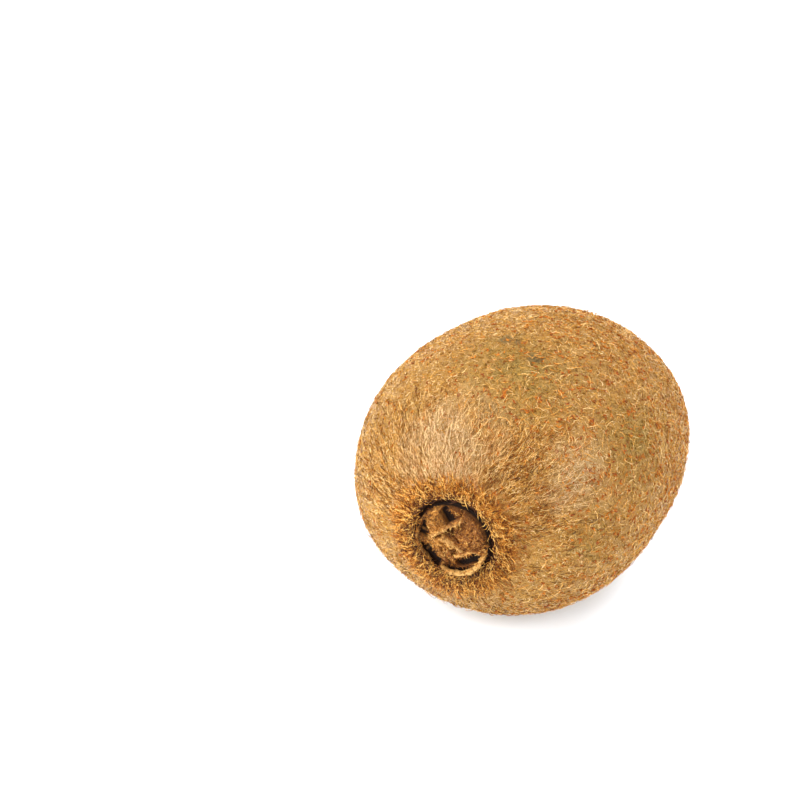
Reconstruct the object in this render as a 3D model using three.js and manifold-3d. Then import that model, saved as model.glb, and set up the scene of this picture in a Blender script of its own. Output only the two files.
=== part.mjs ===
// A kiwi fruit lying on its side, as picked. It is three bodies: the berry, the dried calyx seated in the
// hollow of its stem end, and the withered styles in the dimple of its blossom end.
// Millimetres, +Z up. The fruit's length runs along Y with the stem end at -Y, and it rests on a small
// flat spot at z = 0, with the origin under the middle of its bounding box.

import * as THREE from "three";
import Module from "manifold-3d";

// The berry is a squared ellipsoid of this size, before its taper and its swells.
const HALF_LENGTH = 33;
const HALF_WIDTH = 28;
const HALF_HEIGHT = 24.9;
const END_RADIUS = 25.5; // its ends are rounder in section than its middle, as if of this radius
const TAPER = 0.086; // the share by which its section grows from the middle to the stem end
const STEM_SQUARENESS = 2.25; // 2 is a plain ellipse in side view, and more is squarer
const BLOSSOM_SQUARENESS = 2.38;
// Soft swells and hollows of the skin: where each one is, as a direction from the middle, how much it
// adds to the section there, as a share.
const SWELLS = [
  { toward: [-0.88, -0.03, 0.48], share: 0.036 },
  { toward: [0.43, 0.64, 0.64], share: -0.02 },
  { toward: [0.71, 0.58, 0.39], share: 0.027 },
  { toward: [0.8, -0.08, -0.59], share: -0.012 },
  { toward: [-0.77, -0.56, -0.33], share: 0.035 },
];
const SWELL_TIGHTNESS = 9; // more makes every swell smaller across

// How the fruit lies: the direction from its middle that its weight brings straight down, so that the
// narrower blossom end dips a little and the fruit leans a little to one side.
const REST_DOWN = new THREE.Vector3(-0.068, 0.065, -1).normalize();
const FLAT_SPOT_DEPTH = 0.4; // how much of the curve the flat spot takes off

// The hollow of the stem end: a soft dip, and in it a round steep-walled seat for the calyx.
const SEAT_X = -0.6; // the seat's centre, off the middle of the fruit's end
const SEAT_Z = -0.7;
const SEAT_FLOOR_RADIUS = 6.95;
const SEAT_RIM_RADIUS = 7.7;
const SEAT_DEPTH = 2.6; // from the end of the undipped berry to the seat's floor
const STEM_DIP_DEPTH = 1;
const STEM_DIP_RADIUS = 10;

// The dimple of the blossom end, with a small flat floor for the styles.
const BLOSSOM_DIP_DEPTH = 1;
const BLOSSOM_DIP_RADIUS = 5.5;
const STYLE_SEAT_RADIUS = 2.4;
const STYLE_SEAT_RIM_RADIUS = 3.2;
const STYLE_SEAT_DEPTH = 1.4;
const SEAT_GAP = 0.05; // the clearance under the calyx and under the styles

// The calyx: a woody disc, with dried sepals folded flat over the scar of the stalk. Plans are [x, z] from
// the seat's centre, seen from the stem side with x to the right, and heights are from the seat's floor.
const DISC_RADIUS = 6.75;
const DISC_EDGE_HEIGHT = 0.6;
const DISC_HEIGHT = 1;
// Each sepal runs from its root past a bowed middle to its tip. A positive cup turns its edges up.
const SEPALS = {
  longLeft: {
    root: [-0.9, -6], bow: [-5.8, -1.2], tip: [-2.9, 5.3],
    halfWidth: 1.5, heights: [1, 1.9, 1.5], cup: -0.5, thickness: 0.7,
  },
  broadRight: {
    root: [6.1, -1.6], bow: [3.7, 3.9], tip: [-0.9, 0.2],
    halfWidth: 3.1, heights: [0.9, 2, 1.3], cup: -0.4, thickness: 0.7,
  },
  crackEdge: {
    root: [-3.7, -0.6], bow: [-1.1, 1], tip: [1.4, 3.4],
    halfWidth: 0.5, heights: [1.5, 1.9, 2], cup: 0, thickness: 0.6,
  },
  shortTop: {
    root: [1, 6.2], bow: [0.3, 5.2], tip: [0.1, 3],
    halfWidth: 1.2, heights: [0.9, 1.2, 1.5], cup: 0.2, thickness: 0.6,
  },
  brokenMiddle: {
    root: [-3.1, -1], bow: [-1.4, -2], tip: [-0.2, -5.6],
    halfWidth: 1.3, heights: [1.3, 2, 1.3], cup: 0.15, thickness: 0.6,
  },
  hollowEdge: {
    root: [-0.4, -4.3], bow: [1.6, -3.4], tip: [4.3, -2.8],
    halfWidth: 0.6, heights: [1.3, 1.7, 1.7], cup: 0, thickness: 0.6,
  },
};
const SEPAL_END_SHARE = 0.3; // how wide a sepal still is at its two blunt ends
// Sepal edges that have rolled up into lips along the disc's rim, by the angle round it from +X.
const LIPS = [
  { fromDeg: -114, toDeg: -20, radius: 6.15, height: 1.2, thickness: 1.1 },
  { fromDeg: 158, toDeg: 222, radius: 6.4, height: 0.9, thickness: 0.7 },
];

// The withered styles: a low nub with a crown of short bent threads.
const NUB_RADIUS = 2;
const NUB_HEIGHT = 0.9;
const STYLE_COUNT = 14;
const STYLE_REACH = 2.4;
const STYLE_RADIUS = 0.36;
const GOLDEN_ANGLE = Math.PI * (3 - Math.sqrt(5));

// How finely each body is faceted.
const BERRY_SIDES = 72;
const BERRY_ROWS = 42;
const SEAT_ROW_RADII = [3, 5.5, SEAT_FLOOR_RADIUS, 7.15, 7.35, 7.55, SEAT_RIM_RADIUS, 8.3, 9.3, 10.5];
const STYLE_SEAT_ROW_RADII = [4.6, 3.9, STYLE_SEAT_RIM_RADIUS, 2.8, STYLE_SEAT_RADIUS, 1.2];
const DISC_SIDES = 40;
const SEPAL_STEPS = 9;
const SEPAL_SECTION_POINTS = 14;
const LIP_STEPS = 14;
const LIP_SIDES = 7;
const STYLE_STEPS = 4;
const STYLE_SIDES = 5;

const SKIN = new THREE.MeshStandardMaterial({ color: 0x8f7440, roughness: 0.72, metalness: 0 });
const DRIED_SEPAL = new THREE.MeshStandardMaterial({ color: 0x7a5128, roughness: 0.9, metalness: 0 });
const WITHERED_STYLE = new THREE.MeshStandardMaterial({ color: 0x3a281c, roughness: 0.95, metalness: 0 });

const { lerp, smoothstep, degToRad } = THREE.MathUtils;
const turnsOf = (count) => Array.from({ length: count }, (_, i) => (i / count) * 2 * Math.PI);
const stepsOf = (count) => Array.from({ length: count }, (_, i) => i / (count - 1));

const wasm = await Module();
wasm.setup();

// A closed solid lofted through rings of points, from one end point to the other.
function loft(startPoint, rings, endPoint) {
  const sides = rings[0].length;
  const points = [startPoint, ...rings.flat(), endPoint];
  const last = points.length - 1;
  const at = (ring, side) => 1 + ring * sides + (side % sides);
  const faces = [];
  for (let side = 0; side < sides; side++) {
    faces.push(0, at(0, side + 1), at(0, side));
    for (let ring = 0; ring + 1 < rings.length; ring++) {
      faces.push(at(ring, side), at(ring, side + 1), at(ring + 1, side));
      faces.push(at(ring + 1, side), at(ring, side + 1), at(ring + 1, side + 1));
    }
    faces.push(last, at(rings.length - 1, side), at(rings.length - 1, side + 1));
  }
  const vertProperties = new Float32Array(points.flatMap((p) => p.toArray()));
  const solidOf = (triVerts) => new wasm.Manifold(new wasm.Mesh({ numProp: 3, vertProperties, triVerts }));
  const solid = solidOf(new Uint32Array(faces));
  return solid.volume() > 0 ? solid : solidOf(new Uint32Array(faces).reverse());
}

// Solids joined into one body. A hollow that the joining seals is left filled.
function joined(solids) {
  const whole = solids.reduce((all, next) => all.add(next));
  return whole.decompose().reduce((big, next) => (next.volume() > big.volume() ? next : big));
}

function meshOf(name, solid, material) {
  const { vertProperties, triVerts } = solid.getMesh();
  const geometry = new THREE.BufferGeometry();
  geometry.setAttribute("position", new THREE.BufferAttribute(new Float32Array(vertProperties), 3));
  geometry.setIndex(new THREE.BufferAttribute(triVerts, 1));
  geometry.computeVertexNormals();
  const mesh = new THREE.Mesh(geometry, material);
  mesh.name = name;
  return mesh;
}

// The share by which the section swells where a direction from the middle points.
function swellAt(direction) {
  const gain = ({ toward, share }) => {
    const along = direction.dot(new THREE.Vector3(...toward).normalize());
    return share * Math.exp(SWELL_TIGHTNESS * (along - 1));
  };
  return SWELLS.reduce((sum, swell) => sum + gain(swell), 0);
}

// The skin's point at an angle along the side view, 0 at the stem end and pi at the blossom end, and at
// an angle round the fruit's length.
function skinPoint(along, round) {
  const atStem = along < Math.PI / 2;
  const power = 2 / (atStem ? STEM_SQUARENESS : BLOSSOM_SQUARENESS);
  const width = Math.pow(Math.sin(along), power);
  const lengthwise = Math.pow(Math.abs(Math.cos(along)), power) * (atStem ? -1 : 1);
  const toMiddle = smoothstep(width, 0.3, 0.8);
  const across = new THREE.Vector3(Math.cos(round), 0, Math.sin(round));
  const direction = across.clone().multiplyScalar(width).setY(lengthwise).normalize();
  const section = width * (1 - TAPER * lengthwise) * (1 + swellAt(direction));
  const radius = section * END_RADIUS;
  const point = new THREE.Vector3(
    across.x * section * lerp(END_RADIUS, HALF_WIDTH, toMiddle),
    lengthwise * HALF_LENGTH,
    across.z * section * lerp(END_RADIUS, HALF_HEIGHT, toMiddle),
  );
  if (atStem) {
    point.x += SEAT_X * (1 - toMiddle);
    point.z += SEAT_Z * (1 - toMiddle);
    point.y += STEM_DIP_DEPTH * Math.exp(-((radius / STEM_DIP_RADIUS) ** 4));
    const seated = 1 - smoothstep(radius, SEAT_FLOOR_RADIUS, SEAT_RIM_RADIUS);
    point.y = lerp(point.y, SEAT_DEPTH - HALF_LENGTH, seated);
  } else {
    point.y -= BLOSSOM_DIP_DEPTH * Math.exp(-((radius / BLOSSOM_DIP_RADIUS) ** 2));
    const seated = 1 - smoothstep(radius, STYLE_SEAT_RADIUS, STYLE_SEAT_RIM_RADIUS);
    point.y = lerp(point.y, HALF_LENGTH - STYLE_SEAT_DEPTH, seated);
  }
  return point;
}

// The angle along the side view at which the skin of one end has about this radius.
function alongAtRadius(radius, squareness, taper) {
  const width = radius / (END_RADIUS * (1 + taper));
  return Math.asin(Math.pow(width, squareness / 2));
}

// The berry, with close rows over both seats and even rows between, and its flat spot cut off level.
function berrySolid(up) {
  const seatRows = SEAT_ROW_RADII.map((radius) => alongAtRadius(radius, STEM_SQUARENESS, TAPER));
  const styleRows = STYLE_SEAT_ROW_RADII.map(
    (radius) => Math.PI - alongAtRadius(radius, BLOSSOM_SQUARENESS, -TAPER),
  );
  const first = seatRows.at(-1);
  const last = styleRows[0];
  const bodyRows = stepsOf(BERRY_ROWS).map((share) => lerp(first, last, share));
  const rows = [...seatRows, ...bodyRows.slice(1, -1), ...styleRows];
  const rings = rows.map((along) => turnsOf(BERRY_SIDES).map((round) => skinPoint(along, round)));
  const lowest = Math.min(...rings.flat().map((point) => point.dot(up)));
  const whole = loft(skinPoint(0, 0), rings, skinPoint(Math.PI, 0));
  return whole.trimByPlane(up.toArray(), lowest + FLAT_SPOT_DEPTH);
}

// A point of the calyx, from its plan and its height over the seat's floor.
function calyxPoint(x, z, height) {
  return new THREE.Vector3(SEAT_X + x, SEAT_DEPTH - HALF_LENGTH - SEAT_GAP - height, SEAT_Z + z);
}

// The woody disc: flat below, gently domed above, with a rounded edge.
function discSolid() {
  const profile = [
    [DISC_RADIUS * 0.5, 0],
    [DISC_RADIUS * 0.94, 0],
    [DISC_RADIUS, DISC_EDGE_HEIGHT * 0.5],
    [DISC_RADIUS * 0.95, DISC_EDGE_HEIGHT],
    [DISC_RADIUS * 0.8, DISC_HEIGHT * 0.75],
    [DISC_RADIUS * 0.45, DISC_HEIGHT],
  ];
  const rings = profile.map(([radius, height]) =>
    turnsOf(DISC_SIDES).map((turn) => calyxPoint(radius * Math.cos(turn), radius * Math.sin(turn), height)),
  );
  return loft(calyxPoint(0, 0, 0), rings, calyxPoint(0, 0, DISC_HEIGHT));
}

// One dried sepal: a thin blade along a bowed line, blunt at both ends, with cupped edges.
function sepalSolid({ root, bow, tip, halfWidth, heights, cup, thickness }) {
  const line = new THREE.QuadraticBezierCurve3(
    new THREE.Vector3(root[0], root[1], heights[0]),
    new THREE.Vector3(bow[0], bow[1], heights[1]),
    new THREE.Vector3(tip[0], tip[1], heights[2]),
  );
  const pointAt = (share, across, lift) => {
    const middle = line.getPoint(share);
    const heading = line.getTangent(share).setZ(0).normalize();
    const width = halfWidth * lerp(SEPAL_END_SHARE, 1, Math.sqrt(1 - (2 * share - 1) ** 2));
    const side = width * across;
    const height = middle.z + lift + cup * Math.abs(across) ** 2.5;
    return calyxPoint(middle.x - heading.y * side, middle.y + heading.x * side, height);
  };
  const section = (share) =>
    turnsOf(SEPAL_SECTION_POINTS).map((turn) => {
      const lift = Math.sign(Math.sin(turn)) * Math.sqrt(Math.abs(Math.sin(turn))) * (thickness / 2);
      return pointAt(share, Math.cos(turn), lift);
    });
  return loft(pointAt(0, 0, 0), stepsOf(SEPAL_STEPS).map(section), pointAt(1, 0, 0));
}

// A sepal edge rolled into a lip that follows the disc's rim and thins to both ends.
function lipSolid({ fromDeg, toDeg, radius, height, thickness }) {
  const pointAt = (share, out, up) => {
    const turn = degToRad(lerp(fromDeg, toDeg, share));
    return calyxPoint((radius + out) * Math.cos(turn), (radius + out) * Math.sin(turn), height + up);
  };
  const section = (share) => {
    const girth = (thickness / 2) * lerp(0.45, 1, Math.sin(share * Math.PI));
    return turnsOf(LIP_SIDES).map((turn) => pointAt(share, girth * Math.cos(turn), girth * Math.sin(turn)));
  };
  return loft(pointAt(0, 0, 0), stepsOf(LIP_STEPS).map(section), pointAt(1, 0, 0));
}

function calyxSolid() {
  return joined([discSolid(), ...Object.values(SEPALS).map(sepalSolid), ...LIPS.map(lipSolid)]);
}

// A point of the styles, from its place over the dimple's floor.
function stylePoint(x, z, height) {
  return new THREE.Vector3(x, HALF_LENGTH - STYLE_SEAT_DEPTH + SEAT_GAP + height, z);
}

function nubSolid() {
  const profile = [
    [NUB_RADIUS * 0.92, 0],
    [NUB_RADIUS, NUB_HEIGHT * 0.35],
    [NUB_RADIUS * 0.8, NUB_HEIGHT * 0.8],
    [NUB_RADIUS * 0.4, NUB_HEIGHT],
  ];
  const rings = profile.map(([radius, height]) =>
    turnsOf(STYLE_COUNT).map((turn) => stylePoint(radius * Math.cos(turn), radius * Math.sin(turn), height)),
  );
  return loft(stylePoint(0, 0, 0), rings, stylePoint(0, 0, NUB_HEIGHT));
}

// One thread: it starts inside the nub, leans out and bends over, and thins to its tip.
function threadSolid(index) {
  const heading = index * GOLDEN_ANGLE;
  const inner = NUB_RADIUS * 0.75 * Math.sqrt((index + 0.5) / STYLE_COUNT);
  const outer = inner + STYLE_REACH * lerp(0.35, 0.75, (index % 3) / 2);
  const line = new THREE.QuadraticBezierCurve3(
    new THREE.Vector3(inner * Math.cos(heading), inner * Math.sin(heading), NUB_HEIGHT * 0.4),
    new THREE.Vector3(inner * Math.cos(heading), inner * Math.sin(heading), STYLE_REACH * 0.95),
    new THREE.Vector3(outer * Math.cos(heading + 0.5), outer * Math.sin(heading + 0.5), STYLE_REACH * 0.6),
  );
  const frames = line.computeFrenetFrames(STYLE_STEPS - 1, false);
  const section = (share, step) => {
    const middle = line.getPoint(share);
    const girth = STYLE_RADIUS * lerp(1, 0.6, share);
    return turnsOf(STYLE_SIDES).map((turn) => {
      const point = middle
        .clone()
        .addScaledVector(frames.normals[step], girth * Math.cos(turn))
        .addScaledVector(frames.binormals[step], girth * Math.sin(turn));
      return stylePoint(point.x, point.y, point.z);
    });
  };
  const ends = [0, 1].map((share) => line.getPoint(share)).map((p) => stylePoint(p.x, p.y, p.z));
  return loft(ends[0], stepsOf(STYLE_STEPS).map(section), ends[1]);
}

function stylesSolid() {
  const threads = Array.from({ length: STYLE_COUNT }, (_, index) => threadSolid(index));
  return joined([nubSolid(), ...threads]);
}

// The three bodies in the fruit's own frame, turned as it lies and set down on its flat spot.
const kiwi = new THREE.Group();
kiwi.add(
  meshOf("berry", berrySolid(REST_DOWN.clone().negate()), SKIN),
  meshOf("calyx", calyxSolid(), DRIED_SEPAL),
  meshOf("styles", stylesSolid(), WITHERED_STYLE),
);
kiwi.quaternion.setFromUnitVectors(REST_DOWN, new THREE.Vector3(0, 0, -1));
const bounds = new THREE.Box3().setFromObject(kiwi, true);
kiwi.position.set(-(bounds.min.x + bounds.max.x) / 2, -(bounds.min.y + bounds.max.y) / 2, -bounds.min.z);

export default kiwi;
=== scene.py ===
# A whole kiwi fruit lying on its side: the berry in its leathery skin, the dried calyx at its stem end,
# the withered styles at its blossom end, and the coat of hairs over it all.
# The berry's shape is worked out in millimetres in the fruit's own frame, with its length along Y, and is
# then turned and moved to where the fruit lies.

import math

import bpy
import numpy as np
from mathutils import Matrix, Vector, noise


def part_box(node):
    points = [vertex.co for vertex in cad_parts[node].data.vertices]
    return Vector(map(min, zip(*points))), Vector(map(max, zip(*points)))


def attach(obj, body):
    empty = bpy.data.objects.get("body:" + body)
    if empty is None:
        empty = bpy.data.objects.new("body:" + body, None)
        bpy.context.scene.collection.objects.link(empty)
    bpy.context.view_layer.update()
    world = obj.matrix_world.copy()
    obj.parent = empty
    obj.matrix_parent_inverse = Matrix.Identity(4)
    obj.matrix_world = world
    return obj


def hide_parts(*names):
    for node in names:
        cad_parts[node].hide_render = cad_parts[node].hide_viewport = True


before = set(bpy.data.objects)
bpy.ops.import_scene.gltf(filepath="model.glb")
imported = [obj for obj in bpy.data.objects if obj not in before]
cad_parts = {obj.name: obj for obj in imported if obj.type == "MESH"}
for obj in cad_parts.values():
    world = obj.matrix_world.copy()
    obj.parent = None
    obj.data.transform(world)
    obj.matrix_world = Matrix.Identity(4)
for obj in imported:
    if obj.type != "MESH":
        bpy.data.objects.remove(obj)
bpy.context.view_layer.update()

# The berry: one soft body in a thin leathery skin, golden brown with olive patches, freckled with rusty
# spots where hairs have rubbed off. It grew as one piece, squarer at the ends than an egg, with a round
# hollow that seats the calyx and a small dimple at the other end.
MM = 0.001
HALF_LENGTH = 33.0
HALF_WIDTH = 28.0
HALF_HEIGHT = 24.9
END_RADIUS = 25.5
TAPER = 0.086
STEM_SQUARENESS = 2.25
BLOSSOM_SQUARENESS = 2.38
SWELLS = [
    ((-0.88, -0.03, 0.48), 0.036),
    ((0.43, 0.64, 0.64), -0.02),
    ((0.71, 0.58, 0.39), 0.027),
    ((0.8, -0.08, -0.59), -0.012),
    ((-0.77, -0.56, -0.33), 0.035),
]
SWELL_TIGHTNESS = 9.0
REST_DOWN = (-0.068, 0.065, -1.0)
SEAT_X = -0.6
SEAT_Z = -0.7
SEAT_FLOOR_RADIUS = 6.95
SEAT_RIM_RADIUS = 7.7
SEAT_DEPTH = 2.6
STEM_DIP_DEPTH = 1.0
STEM_DIP_RADIUS = 10.0
BLOSSOM_DIP_DEPTH = 1.0
BLOSSOM_DIP_RADIUS = 5.5
STYLE_SEAT_RADIUS = 2.4
STYLE_SEAT_RIM_RADIUS = 3.2
STYLE_SEAT_DEPTH = 1.4
# The skin's lumps, from broad to fine, as heights, sizes and seeds.
SKIN_LUMPS = [(0.13, 7.0, 1), (0.06, 2.6, 2), (0.035, 1.0, 3)]
PUCKER_HEIGHT = 0.06
BERRY_SIDES = 280
# The skin's rings, as each zone's first and last radius and how many it holds: closest on the seat's wall.
STEM_RINGS = [(0.3, 6.6, 5), (6.8, 8.4, 20), (8.6, 12.2, 14)]
SIDE_RINGS = (12.5, 6.6, 126)
BLOSSOM_RINGS = (6.2, 0.3, 18)


def unit(vectors):
    return vectors / np.linalg.norm(vectors, axis=-1, keepdims=True)


def mix(first, second, share):
    return first + (second - first) * share


def smooth_step(value, low, high):
    share = np.clip((value - low) / (high - low), 0, 1)
    return share * share * (3 - 2 * share)


def skin_section(along, around):
    """How far the skin's section reaches, the way along the fruit, and the share of the middle's shape."""
    at_stem = along < math.pi / 2
    power = 2 / np.where(at_stem, STEM_SQUARENESS, BLOSSOM_SQUARENESS)
    width = np.clip(np.sin(along), 0, 1) ** power
    lengthwise = np.abs(np.cos(along)) ** power * np.where(at_stem, -1, 1)
    direction = unit(np.stack([np.cos(around) * width, lengthwise, np.sin(around) * width], -1))
    swell = sum(
        share * np.exp(SWELL_TIGHTNESS * (direction @ unit(np.array(toward)) - 1)) for toward, share in SWELLS
    )
    section = width * (1 - TAPER * lengthwise) * (1 + swell)
    return section, lengthwise, smooth_step(width, 0.3, 0.8)


def skin_points(along, around):
    """The skin at an angle along its side view, 0 at the stem end, and an angle round its length."""
    section, lengthwise, to_middle = skin_section(along, around)
    at_stem = along < math.pi / 2
    off_centre = np.where(at_stem, 1 - to_middle, 0)
    x = np.cos(around) * section * mix(END_RADIUS, HALF_WIDTH, to_middle) + SEAT_X * off_centre
    z = np.sin(around) * section * mix(END_RADIUS, HALF_HEIGHT, to_middle) + SEAT_Z * off_centre
    y = lengthwise * HALF_LENGTH
    radius = section * END_RADIUS
    stem_y = y + STEM_DIP_DEPTH * np.exp(-((radius / STEM_DIP_RADIUS) ** 4))
    stem_seat = 1 - smooth_step(radius, SEAT_FLOOR_RADIUS, SEAT_RIM_RADIUS)
    stem_y = mix(stem_y, SEAT_DEPTH - HALF_LENGTH, stem_seat)
    blossom_y = y - BLOSSOM_DIP_DEPTH * np.exp(-((radius / BLOSSOM_DIP_RADIUS) ** 2))
    blossom_seat = 1 - smooth_step(radius, STYLE_SEAT_RADIUS, STYLE_SEAT_RIM_RADIUS)
    blossom_y = mix(blossom_y, HALF_LENGTH - STYLE_SEAT_DEPTH, blossom_seat)
    return np.stack([x, np.where(at_stem, stem_y, blossom_y), z], -1)


def skin_steps(along, around, step):
    """The short ways along and round the skin, from a step of the angles before each place to one after."""
    lengthways = skin_points(along + step, around) - skin_points(along - step, around)
    roundways = skin_points(along, around + step) - skin_points(along, around - step)
    return lengthways, roundways


def skin_directions(along, around):
    """The skin's outward normal, its way along towards the blossom end and its way round."""
    lengthways, roundways = skin_steps(along, around, 0.004)
    lengthways = unit(lengthways)
    normal = unit(np.cross(lengthways, roundways))
    return normal, lengthways, np.cross(normal, lengthways)


def along_at_radius(radius, squareness, taper):
    width = np.asarray(radius) / (END_RADIUS * (1 + taper))
    return np.arcsin(width ** (squareness / 2))


def noise_at(points, size, seed):
    """Smooth noise from about -1 to 1 at points, with features of about this size."""
    shift = Vector((seed * 7.3, seed * 3.1, seed * 5.7))
    values = [noise.noise(Vector(point) / size + shift) for point in points.reshape(-1, 3)]
    return np.array(values).reshape(points.shape[:-1])


def lumps_at(points, lumps):
    """Noise of several sizes laid over each other, each given as its height, its size and its seed."""
    return sum(height * noise_at(points, size, seed) for height, size, seed in lumps)


def ring_lattice(rows, sides):
    """The row and the angle of every point of a skin of rings."""
    return np.meshgrid(rows, np.linspace(0, 2 * math.pi, sides, endpoint=False), indexing="ij")


LIE = np.array(Vector(REST_DOWN).rotation_difference(Vector((0, 0, -1))).to_matrix())
stem_rows = [along_at_radius(np.linspace(*zone), STEM_SQUARENESS, TAPER) for zone in STEM_RINGS]
side_rows = np.linspace(
    along_at_radius(SIDE_RINGS[0], STEM_SQUARENESS, TAPER),
    math.pi - along_at_radius(SIDE_RINGS[1], BLOSSOM_SQUARENESS, -TAPER),
    SIDE_RINGS[2],
)
blossom_rows = math.pi - along_at_radius(np.linspace(*BLOSSOM_RINGS), BLOSSOM_SQUARENESS, -TAPER)
berry_rows = np.concatenate([*stem_rows, side_rows, blossom_rows])
berry_along, berry_around = ring_lattice(berry_rows, BERRY_SIDES)
berry_lattice = skin_points(berry_along, berry_around)
box_low, box_high = (np.array(corner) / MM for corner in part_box("berry"))
turned = berry_lattice.reshape(-1, 3) @ LIE.T
LIE_SHIFT = (box_low + box_high) / 2 - (turned.min(0) + turned.max(0)) / 2
LIE_SHIFT[2] = box_high[2] - turned[:, 2].max()


def laid(points):
    """Points of the fruit's own frame, in millimetres, where the fruit lies, in metres."""
    return (points @ LIE.T + LIE_SHIFT) * MM


def skin_relief(points, radius, around, at_stem):
    """How far the skin stands out: soft lumps, fine grain, and puckers running out from the stem's hollow."""
    puckers = np.sin(17 * around + 2.5 * np.sin(3 * around)) + 0.6 * np.sin(29 * around + 1.3)
    fade = smooth_step(radius, 7.9, 9.5) * (1 - smooth_step(radius, 11, 19))
    return lumps_at(points, SKIN_LUMPS) + PUCKER_HEIGHT * puckers * np.where(at_stem, fade, 0)


def grown_skin(along, around):
    """The skin with its relief, and its outward normal."""
    points = skin_points(along, around)
    normals, _, _ = skin_directions(along, around)
    section, _, _ = skin_section(along, around)
    relief = skin_relief(points, section * END_RADIUS, around, along < math.pi / 2)
    return points + normals * relief[..., None], normals


def ring_faces(rings, sides):
    """Faces of a closed skin of rings, whose points are followed by one for its first end and its last."""
    first = rings * sides
    last = first + 1
    turn = np.arange(sides)
    following = (turn + 1) % sides
    faces = [np.stack([np.full(sides, first), following, turn], -1)]
    for ring in range(rings - 1):
        low, high = ring * sides, (ring + 1) * sides
        faces.append(np.stack([low + turn, low + following, high + following], -1))
        faces.append(np.stack([low + turn, high + following, high + turn], -1))
    low = (rings - 1) * sides
    faces.append(np.stack([low + turn, low + following, np.full(sides, last)], -1))
    return np.concatenate(faces)


def mesh_piece(name, points, faces, material, tones=None):
    """A smooth-shaded object from points in metres and triangles, with a tone for each point if given."""
    mesh = bpy.data.meshes.new(name)
    mesh.from_pydata(points.tolist(), [], faces.tolist())
    mesh.polygons.foreach_set("use_smooth", [True] * len(mesh.polygons))
    mesh.materials.append(material)
    if tones is not None:
        mesh.attributes.new("tone", "FLOAT", "POINT").data.foreach_set("value", tones)
    piece = bpy.data.objects.new(name, mesh)
    bpy.context.scene.collection.objects.link(piece)
    return piece


class Nodes:
    """A short way to build a node tree."""

    def __init__(self, tree):
        self.tree = tree

    def add(self, kind, settings=None, **inputs):
        node = self.tree.nodes.new(kind)
        for name, value in (settings or {}).items():
            setattr(node, name, value)
        for name, value in inputs.items():
            key = int(name[1:]) if name[0] == "i" and name[1:].isdigit() else name.replace("_", " ")
            socket = node.inputs[key]
            if isinstance(value, bpy.types.NodeSocket):
                self.tree.links.new(value, socket)
            else:
                socket.default_value = value
        return node

    def math(self, operation, *values, clamp=False):
        inputs = {f"i{place}": value for place, value in enumerate(values)}
        return self.add("ShaderNodeMath", {"operation": operation, "use_clamp": clamp}, **inputs).outputs[0]

    def mask(self, value, low, high):
        """0 below low and 1 above high, smoothly, or the other way round when low is over high."""
        ends = (low, high, 0.0, 1.0) if low < high else (high, low, 1.0, 0.0)
        return self.add(
            "ShaderNodeMapRange",
            {"interpolation_type": "SMOOTHSTEP"},
            i0=value,
            i1=ends[0],
            i2=ends[1],
            i3=ends[2],
            i4=ends[3],
        ).outputs[0]

    def blend(self, share, first, second):
        node = self.tree.nodes.new("ShaderNodeMix")
        node.data_type = "RGBA"
        for place, value in ((0, share), (6, first), (7, second)):
            if isinstance(value, bpy.types.NodeSocket):
                self.tree.links.new(value, node.inputs[place])
            elif place == 0:
                node.inputs[place].default_value = value
            else:
                node.inputs[place].default_value = (*value, 1.0)
        return node.outputs[2]

    def tint(self, colour, share, most, toward):
        """The colour, turned towards another one by a share that counts for this much at the most."""
        return self.blend(self.math("MULTIPLY", share, most), colour, toward)

    def noise(self, vector, size, detail=2.0, distortion=0.0, shift=0.0):
        """Noise with features of about this size, in metres."""
        moved = self.vector_math("ADD", vector, (shift, shift * 0.7, shift * 1.3), "Vector")
        return self.add(
            "ShaderNodeTexNoise", Vector=moved, Scale=1 / size, Detail=detail, Distortion=distortion
        ).outputs["Fac"]

    def vector_math(self, operation, first, second, output="Value"):
        node = self.add("ShaderNodeVectorMath", {"operation": operation}, i0=first, i1=second)
        return node.outputs[output]

    def distance(self, vector, place):
        return self.vector_math("DISTANCE", vector, tuple(place))


def new_group(name, inputs, outputs):
    """A node group whose outputs are plain numbers: the group, its nodes, its entry and its exit."""
    group = bpy.data.node_groups.new(name, "ShaderNodeTree")
    for socket, kind in inputs.items():
        group.interface.new_socket(socket, in_out="INPUT", socket_type=kind)
    for socket in outputs:
        group.interface.new_socket(socket, in_out="OUTPUT", socket_type="NodeSocketFloat")
    entry = group.nodes.new("NodeGroupInput")
    return group, Nodes(group), entry.outputs, group.nodes.new("NodeGroupOutput").inputs


def make_fibre_group():
    """Tangled short fibres: pale strands, dark gaps between them, and a height for bump."""
    group, nodes, entry, leaving = new_group(
        "fibre tangle",
        {"Vector": "NodeSocketVector", "Per Metre": "NodeSocketFloat"},
        ("Strands", "Gaps", "Height"),
    )
    scaled = nodes.add("ShaderNodeVectorMath", {"operation": "SCALE"}, i0=entry["Vector"])
    group.links.new(entry["Per Metre"], scaled.inputs["Scale"])
    strands = None
    for shift in (0.0, 31.0):
        wander = nodes.noise(scaled.outputs[0], 1.0, 1.5, 1.4, shift)
        from_line = nodes.math("ABSOLUTE", nodes.math("SUBTRACT", wander, 0.5))
        line = nodes.mask(from_line, 0.055, 0.005)
        strands = line if strands is None else nodes.math("MAXIMUM", strands, line)
    gaps = nodes.mask(nodes.noise(scaled.outputs[0], 0.7, 3.0, 0.6, 77.0), 0.46, 0.3)
    height = nodes.math("SUBTRACT", strands, nodes.math("MULTIPLY", gaps, 0.7))
    for socket, value in (("Strands", strands), ("Gaps", gaps), ("Height", height)):
        group.links.new(value, leaving[socket])
    return group


fibre_tangle = make_fibre_group()


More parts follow.
